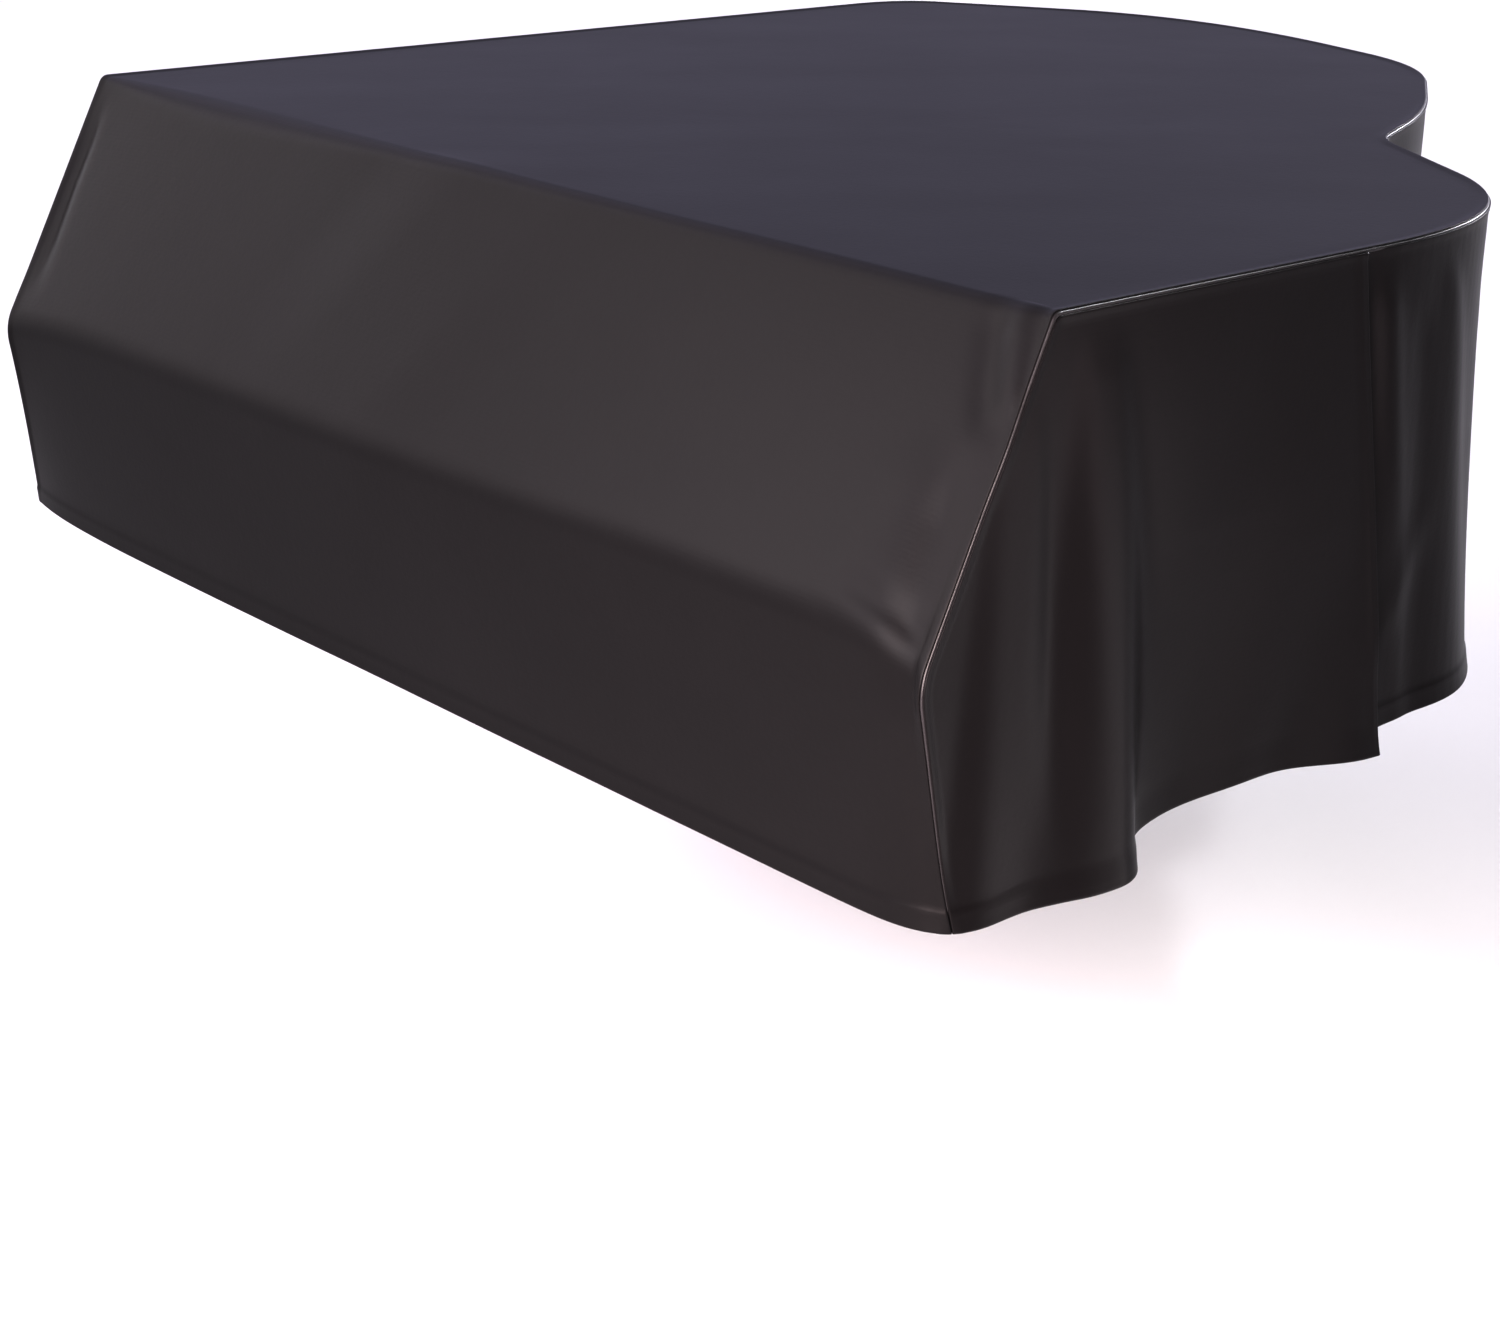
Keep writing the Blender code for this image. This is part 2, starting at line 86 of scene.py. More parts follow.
TUCK_FADE = 0.045             # and has come out again within this distance
SLIT_CLEAR = 0.004            # the wall's creases start this far past the free edge
SLIT_EASE = 0.014             # and come in over this distance
RIPPLE_SHIFT = 1.7            # sets a side panel's undulations apart from the top's
FLOOR_DROP = 1.0097           # from z = 0 down to the floor the piano stands on

# A corner of the rim, rounded from ease_in before it to ease_out after it; low_in and low_out are those of
# the softer outline that the cloth takes lower down.
Corner = namedtuple("Corner", "x y ease_in ease_out low_in low_out")
RIM = [
    Corner(HALF_WIDTH, 0.675, 0.245, 0.200, 0.245, 0.190),    # shoulder
    Corner(0.4075, 0.888, 0.040, 0.040, 0.190, 0.100),        # hollow where the bentside begins
    Corner(0.3225, 1.090, 0.110, 0.120, 0.110, 0.120),        # bentside
    Corner(0.1095, 1.382, 0.120, 0.120, 0.120, 0.120),        # treble corner of the tail
    Corner(-0.3635, 1.529, 0.300, 0.200, 0.300, 0.200),       # crown of the tail
    Corner(-HALF_WIDTH, 1.300, 0.060, 0.090, 0.080, 0.110),   # spine corner
]
CORNER_STEPS = 24             # short runs in each rounded corner
TANGENT_REACH = 0.004         # the rim's direction at a point is taken over twice this

# A cut through the front: its fold, its hem, and how far it is rounded at the fold and at the lid's edge.
Section = namedtuple("Section", "fold_y fold_z hem_y hem_z ease_fold ease_top")
MIDDLE = Section(-0.140, -0.2560, -0.118, -0.5080, 0.020, 0.011)
TREBLE = Section(-0.135, -0.2840, -0.090, -0.5090, 0.022, 0.006)
BASS = Section(-0.144, -0.2760, -0.098, -0.5050, 0.022, 0.006)
TREBLE_REACH, BASS_REACH = 0.024, 0.085                 # over which an end's section gives way
FOLD_RISE, RISE_FROM, RISE_OVER = 0.009, -0.10, 0.60    # the fold climbs towards the treble end
SOFT_TOP, SOFT_PLACE, SOFT_WIDTH = 0.015, -0.50, 0.28   # the lid's edge is rounder here

# A fold of the hanging cloth, or a trough where it stands out by less than nothing, from its top at height
# top_z down to SIDE_HEM: its place along the rim, its half width and how far it stands out, at both, how
# early it leans over, and how flat its crown is.
Fold = namedtuple("Fold", "top_s foot_s top_z top_width foot_width top_out foot_out lean crown",
                  defaults=(0.6, 2.0))
TREBLE_FOLDS = [
    Fold(-0.030, -0.0347, -0.05, 0.020, 0.0561, 0.001, 0.0144, 0.60, 4.3),
    Fold(0.040, 0.0796, -0.005, 0.022, 0.0636, 0.002, 0.0453, 0.28, 3.1),
    Fold(0.030, 0.0554, -0.14, 0.022, 0.0291, 0.000, -0.0071),
    Fold(0.200, 0.236, -0.20, 0.100, 0.119, 0.0, -0.040),
    Fold(0.370, 0.383, -0.24, 0.060, 0.065, 0.0, -0.020),
]
RIM_FOLDS = [
    Fold(0.430, 0.488, -0.01, 0.014, 0.034, 0.004, 0.003),
    Fold(0.535, 0.640, -0.01, 0.014, 0.070, 0.003, 0.016),
    Fold(0.490, 0.555, -0.05, 0.018, 0.030, -0.002, -0.003),
    Fold(0.700, 0.745, -0.05, 0.040, 0.100, 0.0, 0.026),
    Fold(0.880, 0.885, -0.08, 0.030, 0.050, 0.0, -0.010),
    Fold(1.040, 1.035, -0.02, 0.022, 0.055, 0.004, 0.015),
    Fold(1.125, 1.130, -0.03, 0.020, 0.045, -0.002, -0.008),
    Fold(1.230, 1.220, -0.06, 0.030, 0.055, 0.002, 0.012),
    Fold(1.400, 1.420, -0.10, 0.040, 0.070, 0.0, -0.008),
    Fold(1.560, 1.570, -0.03, 0.030, 0.070, 0.003, 0.018),
    Fold(1.760, 1.740, -0.12, 0.050, 0.060, 0.0, -0.009),
    Fold(1.950, 1.960, -0.08, 0.040, 0.075, 0.001, 0.012),
    Fold(2.160, 2.150, -0.10, 0.050, 0.060, 0.0, -0.008),
    Fold(2.480, 2.490, -0.03, 0.030, 0.080, 0.003, 0.020),
    Fold(2.680, 2.660, -0.12, 0.050, 0.070, 0.0, -0.010),
    Fold(2.860, 2.880, -0.09, 0.040, 0.065, 0.001, 0.009),
    Fold(3.060, 3.050, -0.14, 0.050, 0.070, 0.0, -0.008),
    Fold(3.240, 3.260, -0.10, 0.040, 0.060, 0.001, 0.008),
]
BASS_FOLDS = [      # placed by their distance from the rim's bass end
    Fold(-0.090, -0.085, -0.20, 0.050, 0.070, 0.0, 0.040),
    Fold(0.040, 0.100, -0.03, 0.014, 0.060, 0.003, 0.022),
    Fold(0.190, 0.220, -0.22, 0.070, 0.090, 0.0, -0.026),
]
WIDEN_POWER, SWELL_POWER = 0.8, 1.4    # how late folds widen and stand out on the way down
FOLD_ONSET = 0.12                      # share of the way down over which they begin

# A soft hollow pressed into the cloth, or a ridge where depth is below zero, along a bowed line from
# (a0, b0) to (a1, b1): half widths at its two ends, depth, and how far the line bows to its left.
Crease = namedtuple("Crease", "a0 b0 a1 b1 width0 width1 depth bow")
SLOPE_CREASES = [   # a = x, b = running distance down from the lid's edge
    Crease(0.684, -0.006, 0.732, 0.130, 0.015, 0.012, 0.0028, 0.002),
    Crease(0.716, -0.008, 0.756, 0.114, 0.013, 0.011, -0.0036, 0.002),
    Crease(0.716, 0.120, 0.744, 0.370, 0.018, 0.028, 0.0064, 0.004),
    Crease(0.640, 0.256, 0.762, 0.288, 0.014, 0.014, 0.0024, 0.0),
    Crease(0.690, 0.120, 0.650, 0.300, 0.024, 0.036, -0.0020, 0.010),
    Crease(-0.726, 0.020, -0.718, 0.290, 0.011, 0.018, 0.0030, 0.008),
    Crease(-0.200, 0.060, 0.100, 0.260, 0.180, 0.200, -0.0030, 0.0),
    Crease(0.300, 0.080, 0.360, 0.280, 0.120, 0.150, 0.0020, 0.0),
]
SIDE_CREASES = [    # a = s, b = z
    Crease(0.240, -0.020, 0.300, -0.480, 0.060, 0.070, 0.0030, 0.0),
    Crease(0.492, -0.370, 0.502, -0.560, 0.030, 0.036, 0.0042, 0.0),
]
WALL_CREASES = [    # a = s, b = z
    Crease(0.412, 0.040, 0.500, -0.300, 0.012, 0.018, -0.0016, 0.0),
    Crease(0.560, -0.240, 0.470, -0.400, 0.020, 0.024, -0.0020, 0.006),
    Crease(0.466, -0.390, 0.484, -0.480, 0.014, 0.016, -0.0026, 0.0),
    Crease(0.800, -0.010, 0.830, -0.160, 0.010, 0.016, -0.0035, 0.0),
]

# A side panel: the front section it is sewn to, 1 for treble or -1 for bass, where its free edge starts and
# ends along the rim, and how far its hem is lifted, where and over what half width.
SidePanel = namedtuple("SidePanel", "section hand slit_top slit_foot lift lift_s lift_width")
TREBLE_SIDE = SidePanel(TREBLE, 1.0, 0.400, 0.499, 0.014, 0.340, 0.150)
BASS_SIDE = SidePanel(BASS, -1.0, 0.400, 0.480, 0.006, 0.220, 0.120)
HEM_BLEND = 0.15              # share of its width over which its hem comes to SIDE_HEM

# How finely each piece is divided between the marks near its edges.
LONG_COLUMNS, TOP_ROWS = 222, 76
SIDE_COLUMNS, SIDE_ROWS = 112, 72
WALL_COLUMNS, WALL_ROWS = 470, 62
PIPING_RINGS, PIPING_SIDES = 640, 12


# ---------------------------------------------------------------- small tools
def smooth(t):
    """Ease from 0 to 1: three t squared less two t cubed, held at both ends."""
    t = np.clip(t, 0.0, 1.0)
    return t * t * (3.0 - 2.0 * t)


def bell(distance, width, crown=2.0):
    """Bell curve, 1 at no distance: e to the minus (distance over width) to the power crown.

    A higher power makes it flatter on top.
    """
    return np.exp(-np.abs(distance / width) ** crown)


def mix(a, b, share):
    """Straight blend from a to b."""
    return a + (b - a) * share


def unit(v):
    """Vectors scaled to length one, along the last axis."""
    return v / np.maximum(np.linalg.norm(v, axis=-1, keepdims=True), 1e-12)


def arc_lengths(path):
    """Distance run along a path at each of its points."""
    return np.concatenate([[0.0], np.cumsum(np.linalg.norm(np.diff(path, axis=0), axis=1))])


def resampled(path, marks, values=None):
    """Points at given distances along a path, or values it carries, by straight interpolation."""
    run = arc_lengths(path)
    values = path if values is None else values
    return np.stack([np.interp(marks, run, values[:, axis]) for axis in range(values.shape[1])], axis=-1)


def crowded(low, high, count, places):
    """count values from low to high, closer together at each (place, width, weight) of places.

    The density is one plus a bell of that weight at each place; its running sum is inverted.
    """
    t = np.linspace(low, high, 2000)
    density = np.ones_like(t) + sum(weight * bell(t - place, width) for place, width, weight in places)
    total = np.concatenate([[0.0], np.cumsum((density[1:] + density[:-1]) / 2.0)])
    return np.interp(np.linspace(0.0, total[-1], count), total, t)


def edge_distance(points, line):
    """Least distance from each 2-D point to a polyline, its foot kept within each straight run."""
    start, run = line[:-1], np.diff(line, axis=0)
    offset = points[..., None, :] - start
    share = np.clip(np.sum(offset * run, axis=-1) / np.sum(run * run, axis=-1), 0.0, 1.0)
    return np.linalg.norm(offset - share[..., None] * run, axis=-1).min(axis=-1)


def soft_corner(start, corner, end, share):
    """Quadratic curve that leaves start towards corner and arrives at end, for shares 0 to 1."""
    keep = 1.0 - share
    return keep ** 2 * start + 2.0 * keep * share * corner + share ** 2 * end


# ---------------------------------------------------------------- the rim, seen from above
def rim_path(low=False):
    """Points round the rim, treble side to bass side: straights joined by quadratic corners."""
    ends = np.array([(HALF_WIDTH, 0.0)] + [(c.x, c.y) for c in RIM] + [(-HALF_WIDTH, 0.0)])
    share = np.linspace(0.0, 1.0, CORNER_STEPS + 1)[:, None]
    pieces = [ends[:1]]
    for corner, before, here, after in zip(RIM, ends, ends[1:], ends[2:]):
        ease_in, ease_out = (corner.low_in, corner.low_out) if low else (corner.ease_in, corner.ease_out)
        start, end = here + ease_in * unit(before - here), here + ease_out * unit(after - here)
        pieces.append(soft_corner(start, here, end, share))
    return np.concatenate(pieces + [ends[-1:]])


def path_normals(path, marks):
    """Outward directions of a plan path at given distances along it, square to its run."""
    run = unit(resampled(path, marks + TANGENT_REACH) - resampled(path, marks - TANGENT_REACH))
    return np.stack([run[:, 1], -run[:, 0]], axis=1)


RIM_LINE, LOW_LINE = rim_path(), rim_path(low=True)
RIM_LENGTH, LOW_LENGTH = arc_lengths(RIM_LINE)[-1], arc_lengths(LOW_LINE)[-1]


# ---------------------------------------------------------------- relief of the hanging cloth
def fold_heights(folds, s, z):
    """How far the cloth stands out at (s, z): one bell-shaped ridge or trough a fold.

    A fold's place, width and height all run from their top value to their foot value as z falls; a small
    lean takes it sideways early.
    """
    total = np.zeros(np.broadcast(s, z).shape)
    for f in folds:
        down = np.clip((f.top_z - z) / (f.top_z - SIDE_HEM), 0.0, 1.0)
        place = mix(f.top_s, f.foot_s, down ** f.lean)
        width = mix(f.top_width, f.foot_width, down ** WIDEN_POWER)
        height = mix(f.top_out, f.foot_out, down ** SWELL_POWER) * smooth(down / FOLD_ONSET)
        total = total + height * bell(s - place, width, f.crown)
    return total


def relief(s, z):
    """Relief of all that hangs from the rim, so that a side panel and the wall beneath it agree."""
    return fold_heights(TREBLE_FOLDS + RIM_FOLDS, s, z) + fold_heights(BASS_FOLDS, RIM_LENGTH - s, z)


def crease_depths(creases, a, b):
    """Sum of soft hollows and ridges in a panel's own two coordinates, positive into the cover.

    Each crease is a bell across a parabola-bowed line, and swells and dies away over the first and last
    third of its length.
    """
    total = np.zeros(np.broadcast(a, b).shape)
    for c in creases:
        run = np.array([c.a1 - c.a0, c.b1 - c.b0])
        length = np.linalg.norm(run)
        along = ((a - c.a0) * run[0] + (b - c.b0) * run[1]) / length ** 2
        inside = np.clip(along, 0.0, 1.0)
        off = ((b - c.b0) * run[0] - (a - c.a0) * run[1]) / length
        off = off - 4.0 * c.bow * inside * (1.0 - inside)
        ends = smooth(along * 3.0) * smooth((1.0 - along) * 3.0)
        total = total + c.depth * ends * bell(off, mix(c.width0, c.width1, inside))
    return total


RIPPLES = [   # wavelengths along a and b, phase and height of each of the cloth's faint undulations
    (0.610, 0.750, 0.3, 0.00024), (0.340, -0.520, 1.9, 0.00010), (-0.190, 0.310, 4.1, 0.00006),
]


def ripples(a, b):
    """Faint unevenness of the cloth: a few long plane waves that don't keep step."""
    return sum(height * np.sin(2.0 * np.pi * (a / wave_a + b / wave_b) + phase)
               for wave_a, wave_b, phase, height in RIPPLES)


# ---------------------------------------------------------------- the front, seen from the side
# Distances of the first rows or columns from a hem, from a side panel's free rear edge and from a seam.
FREE_EDGE = 0.010             # how far from a free rear edge its stitches run
HEM_MARKS = np.array([0.0, 0.0012, 0.004, 0.009, 0.014, 0.0178, HEM_DEPTH, 0.0222, 0.026])
FREE_MARKS = np.array([FREE_EDGE, 0.008, 0.006, 0.0035, 0.0012, 0.0])
SEAM_MARKS = np.array([SEWN_CUT, 0.0018, 0.003, 0.0045, 0.0065, 0.009, 0.012, 0.016])
PAST_HEM, PAST_FREE = 0.031, 0.016       # where a side panel's even rows and columns start
WALL_PAST_HEM = 0.006                    # where the wall's start, above the last of its HEM_MARKS
STITCH_ROW = 6                           # the row of HEM_DEPTH
DROP_STEPS, FOLD_STEPS, SLOPE_STEPS, LID_FOLD_STEPS = 28, 14, 46, 10
TURN_ROW = len(HEM_MARKS) + DROP_STEPS + FOLD_STEPS // 2    # near the middle of the front's fold
LAST_EVEN = 0.985                        # the top's even rows end here on their way to the rim
RIM_SHARES = 1.0 - np.array([0.011, 0.0075, 0.005, 0.0033, 0.0020, 0.0011, 0.0005])


def shares(steps):
    """Evenly spaced shares after 0, up to and with 1."""
    return np.linspace(0.0, 1.0, steps + 1)[1:]


def front_rows(fold, hem, ease_fold, ease_top):
    """Section of the front as rows of (y, z) from the hem to the top, for one or many columns.

    Two straights, the drop and the slope, joined by soft corners at the fold and at the lid's edge.
    """
    lid = np.zeros_like(fold)
    to_hem, to_lid = unit(hem - fold), unit(lid - fold)
    drop_top = fold + ease_fold * to_hem
    slope_foot = fold + ease_fold * to_lid
    slope_top = lid - ease_top * to_lid
    top_edge = lid + ease_top * np.array([1.0, 0.0])
    rows = [hem - mark * to_hem for mark in HEM_MARKS]
    rows += [mix(rows[-1], drop_top, t) for t in shares(DROP_STEPS)]
    rows += [soft_corner(drop_top, fold, slope_foot, t) for t in shares(FOLD_STEPS)]
    rows += [mix(slope_foot, slope_top, t) for t in shares(SLOPE_STEPS)]
    rows += [soft_corner(slope_top, lid, top_edge, t) for t in shares(LID_FOLD_STEPS)]
    return np.array(rows)


def seam_rows(section):
    """Side view of a front seam as rows of (y, z), hem to top."""
    fold = np.array([section.fold_y, section.fold_z])
    hem = np.array([section.hem_y, section.hem_z])
    return front_rows(fold, hem, section.ease_fold, section.ease_top)


def side_points(flat, hand):
    """Points of (y, z) on one side of the cover, set out from it by the folds."""
    s = flat[..., 0] if hand > 0 else RIM_LENGTH - flat[..., 0]
    across = hand * (HALF_WIDTH + relief(s, flat[..., 1]))
    return np.concatenate([across[..., None], flat], axis=-1)


def front_corners(x):
    """The front's fold and hem at each place across, and the roundness of its upper fold."""
    from_treble = np.exp(-(HALF_WIDTH - x) / TREBLE_REACH)
    from_bass = np.exp(-(HALF_WIDTH + x) / BASS_REACH)

    def across(size):
        middle = getattr(MIDDLE, size)
        return (middle + (getattr(TREBLE, size) - middle) * from_treble
                + (getattr(BASS, size) - middle) * from_bass)

    rise = FOLD_RISE * smooth((x - RISE_FROM) / RISE_OVER) * (1.0 - from_treble)
    fold = np.stack([across("fold_y"), across("fold_z") + rise], axis=1)
    hem = np.stack([across("hem_y"), across("hem_z")], axis=1)
    ease_top = across("ease_top") + SOFT_TOP * bell(x - SOFT_PLACE, SOFT_WIDTH) * (1.0 - from_bass)
    return fold, hem, ease_top[:, None]


# ---------------------------------------------------------------- panels
# A worked-out cloth: its inner face, the places on the flat cloth, the turn that inward needs, and the
# distances from a seam, from a stitched edge and from the hem.
Panel = namedtuple("Panel", "grid flat turn seam_gap hem_gap curl_gap")


def inward(grid, turn):
    """Direction into the cover at each point of a grid: the run of a row crossed with that of a column.

    turn is 1 where that product points into the cover and -1 where it points out.
    """
    return turn * unit(np.cross(np.gradient(grid, axis=1), np.gradient(grid, axis=0)))


def long_cloth():
    """The top, the slope and the drop: rows from the front hem to the tail, columns treble to bass."""
    width = 2.0 * HALF_WIDTH
    middle = crowded(SEAM_MARKS[-1], width - SEAM_MARKS[-1], LONG_COLUMNS,
                     [(0.0, 0.05, 1.2), (width, 0.05, 1.2)])
    marks = np.concatenate([SEAM_MARKS[:-1], middle, width - SEAM_MARKS[-2::-1]])
    share = marks / width
    treble, bass = (side_points(seam_rows(p.section), p.hand) for p in (TREBLE_SIDE, BASS_SIDE))
    fold, hem, ease_top = front_corners(mix(HALF_WIDTH, -HALF_WIDTH, share))
    section = front_rows(fold, hem, MIDDLE.ease_fold, ease_top)
    x = mix(treble[:, :1], bass[:, :1], share)
    front = np.concatenate([x[..., None], section], axis=2)
    down = np.linalg.norm(np.diff(front[::-1], axis=0), axis=2).cumsum(axis=0)[::-1]
    down = np.concatenate([down, np.zeros((1, len(share)))])

    rim_from, rim_to = RIM[0].y - RIM[0].ease_in, RIM_LENGTH - (RIM[-1].y - RIM[-1].ease_out)
    bends = [(0.82, 0.06, 2.5), (RIM_LENGTH - 1.30, 0.10, 1.5)]
    stations = crowded(rim_from, rim_to, len(share), bends)
    rim = resampled(RIM_LINE, stations)
    steps = np.concatenate([crowded(0.0, LAST_EVEN, TOP_ROWS, [(0.0, 0.02, 2.0)])[1:], RIM_SHARES])
    flat_top = mix(front[-1, :, :2], rim, steps[:, None, None])
    top = np.concatenate([flat_top, np.zeros_like(flat_top[..., :1])], axis=2)
    grid = np.concatenate([front, top])

    side_gap = np.minimum(marks, width - marks)
    rim_gap = edge_distance(flat_top, RIM_LINE)
    seam_gap = np.concatenate([np.broadcast_to(side_gap, front.shape[:2]), rim_gap])
    flat = np.concatenate([np.stack([x, -down], axis=2), flat_top])
    hem_gap = np.full(grid.shape[:2], 1.0)
    hem_gap[:len(HEM_MARKS) + 2] = (down[0] - down)[:len(HEM_MARKS) + 2]

    depth = ripples(flat[..., 0], flat[..., 1]) * smooth(seam_gap / RIPPLE_EASE)
    depth += crease_depths(SLOPE_CREASES, flat[..., 0], -flat[..., 1]) * smooth(seam_gap / CREASE_EASE)
    grid = grid + inward(grid, 1.0) * depth[..., None]
    return Panel(grid, flat, 1.0, seam_gap, hem_gap, hem_gap)


def coons_patch(south, north, west, east, across, along):
    """Patch between four edges: the two ruled surfaces added, less the ruled surface of its corners."""
    across, along = across[None, :, None], along[:, None, None]
    ruled = mix(south[None], north[None], along) + mix(west[:, None], east[:, None], across)
    return ruled - mix(mix(south[0], south[-1], across), mix(north[0], north[-1], across), along)


def side_panel(panel):
    """A side panel: rows from its hem to the seam, columns from the front seam to its free rear edge.

    A Coons patch in (y, z) between the hem, the seam up the slope and along the top, the seam up the drop
    and the free edge; the folds then set it out sideways.
    """
    seam = seam_rows(panel.section)
    west_line = seam[:TURN_ROW + 1]
    north_line = np.concatenate([seam[TURN_ROW:], [[panel.slit_top, 0.0]]])
    width, height = arc_lengths(north_line)[-1], arc_lengths(west_line)[-1]
    middle = crowded(SEAM_MARKS[-1], width - PAST_FREE, SIDE_COLUMNS,
                     [(0.0, 0.05, 1.0), (0.29, 0.05, 0.8)])
    across = np.concatenate([SEAM_MARKS[:-1], middle, width - FREE_MARKS]) / width
    along = np.concatenate([HEM_MARKS, crowded(PAST_HEM, height - SEAM_MARKS[-1], SIDE_ROWS, []),
                            height - SEAM_MARKS[-2::-1]]) / height
    west, north = resampled(west_line, along * height), resampled(north_line, across * width)
    s_hem = mix(panel.section.hem_y, panel.slit_foot, across)
    z_hem = mix(panel.section.hem_z, SIDE_HEM, smooth(across / HEM_BLEND))
    south = np.column_stack([s_hem, z_hem + panel.lift * bell(s_hem - panel.lift_s, panel.lift_width)])
    east = mix(south[-1], north[-1], along[:, None])
    flat = coons_patch(south, north, west, east, across, along)
    grid = side_points(flat, panel.hand)

    seam_line = np.concatenate([west_line, north_line[1:]])
    seam_gap = edge_distance(flat, seam_line)
    reach = np.linalg.norm(north - south, axis=1)
    free_gap = (1.0 - across) * width
    curl_gap = along[:, None] * reach
    hem_gap = np.minimum(curl_gap, free_gap + HEM_DEPTH - FREE_EDGE)
    depth = ripples(flat[..., 0] + RIPPLE_SHIFT, flat[..., 1]) * smooth(seam_gap / RIPPLE_EASE)
    if panel.hand > 0:
        depth += crease_depths(SIDE_CREASES, flat[..., 0], flat[..., 1]) * smooth(seam_gap / CREASE_EASE)
    grid = grid + inward(grid, -panel.hand) * depth[..., None]
    return Panel(grid, flat, -panel.hand, seam_gap, hem_gap, curl_gap)


def tucked(s, z, panel):
    """How deep the wall lies under a side panel: its thickness and some air, none past the free edge."""
    down = z / SIDE_HEM
    past = s - mix(panel.slit_top, panel.slit_foot, down) - TUCK_PAST
    deep = TUCK_CLOTH + TUCK_AIR + TUCK_ROOM * smooth(down / FOLD_ONSET)
    return deep * (1.0 - smooth(past / TUCK_FADE))


def back_wall():
    """The wall: rows from the rim's seam down to its hem, columns round from treble to bass.

    Each column runs from the rim's outline to the softer low outline, and the folds set it out square
    to them.
    """
    s = crowded(TREBLE_SIDE.slit_top - OVERLAP, RIM_LENGTH - BASS_SIDE.slit_top + OVERLAP, WALL_COLUMNS,
                [(0.60, 0.20, 0.8), (0.83, 0.08, 1.2), (RIM_LENGTH - 1.30, 0.10, 1.0)])
    low_s = s / RIM_LENGTH * LOW_LENGTH
    upper, lower = resampled(RIM_LINE, s), resampled(LOW_LINE, low_s)
    upper_out, lower_out = path_normals(RIM_LINE, s), path_normals(LOW_LINE, low_s)
    hem = WALL_HEM + WALL_WAVE * np.sin(2.0 * np.pi * WALL_WAVES_PER_M * s)
    body = np.linspace(SEAM_MARKS[-1], -WALL_HEM - HEM_MARKS[-1] - WALL_PAST_HEM, WALL_ROWS)
    rows = [-mark * np.ones_like(s) for mark in SEAM_MARKS[:-1]]
    rows += [hem * mark / -WALL_HEM for mark in body]
    rows += [hem + mark for mark in HEM_MARKS[::-1]]
    z = np.array(rows)
    low_share = smooth(SOFTENS * z / WALL_HEM)[..., None]
    out = relief(s, z) - tucked(s, z, TREBLE_SIDE) - tucked(RIM_LENGTH - s, z, BASS_SIDE)
    slit = mix(TREBLE_SIDE.slit_top, TREBLE_SIDE.slit_foot, z / SIDE_HEM)
    out -= crease_depths(WALL_CREASES, s, z) * smooth((s - slit - SLIT_CLEAR) / SLIT_EASE)
    out += ripples(s, z) * smooth(-z / RIPPLE_EASE)
    facing = unit(mix(upper_out, lower_out, low_share))
    plan = mix(upper, lower, low_share) + facing * out[..., None]
    grid = np.concatenate([plan, z[..., None]], axis=2)
    flat = np.stack([np.broadcast_to(s, z.shape), z], axis=2)
    return Panel(grid, flat, 1.0, -z, z - hem, z - hem)


# ---------------------------------------------------------------- meshes
def to_frame(points):
    """Cutting coordinates to the row frame."""
    return points + np.array([0.0, -FRONT_TO_ORIGIN, TOP_HEIGHT])


def grid_faces(index):
    """Four-sided faces of a grid of point numbers."""
    quads = np.stack([index[:-1, :-1], index[:-1, 1:], index[1:, 1:], index[1:, :-1]], axis=-1)
    return quads.reshape(-1, 4)


def add_piece(name, points, faces, material, flat=None):
    """New object on body root, from points in cutting coordinates and a list of faces.

    flat gives each point's place on the flat cloth, in metres, and becomes the map cloth_plan.
    """
    mesh = bpy.data.meshes.new(name)
    mesh.from_pydata(to_frame(points).tolist(), [], faces)
    mesh.update()
    mesh.shade_smooth()
    mesh.materials.append(material)
    if flat is not None:
        corner = np.empty(len(mesh.loops), dtype=np.int32)
        mesh.loops.foreach_get("vertex_index", corner)
        plan = mesh.uv_layers.new(name="cloth_plan")
        plan.data.foreach_set("uv", flat[corner].astype(np.float32).ravel())
    piece = bpy.data.objects.new(name, mesh)
    bpy.context.scene.collection.objects.link(piece)
    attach(piece, "root")
    return piece


def inner_face(panel):
    """Inner face, standing out more at seams, stitches and hem edges, and the way in at each point."""
    swell = SEAM_SWELL * (1.0 - smooth(panel.seam_gap / SEAM_ROLL))
    swell += STITCH_RIDGE * bell(panel.hem_gap - HEM_DEPTH, RIDGE_WIDTH)
    curl = np.clip(1.0 - panel.curl_gap / CURL_REACH, 0.0, 1.0) ** CURL_POWER
    swell += HEM_CURL * curl * smooth(panel.seam_gap / CURL_EASE)
    inner = panel.grid - inward(panel.grid, panel.turn) * swell[..., None]
    return inner, inward(inner, panel.turn)


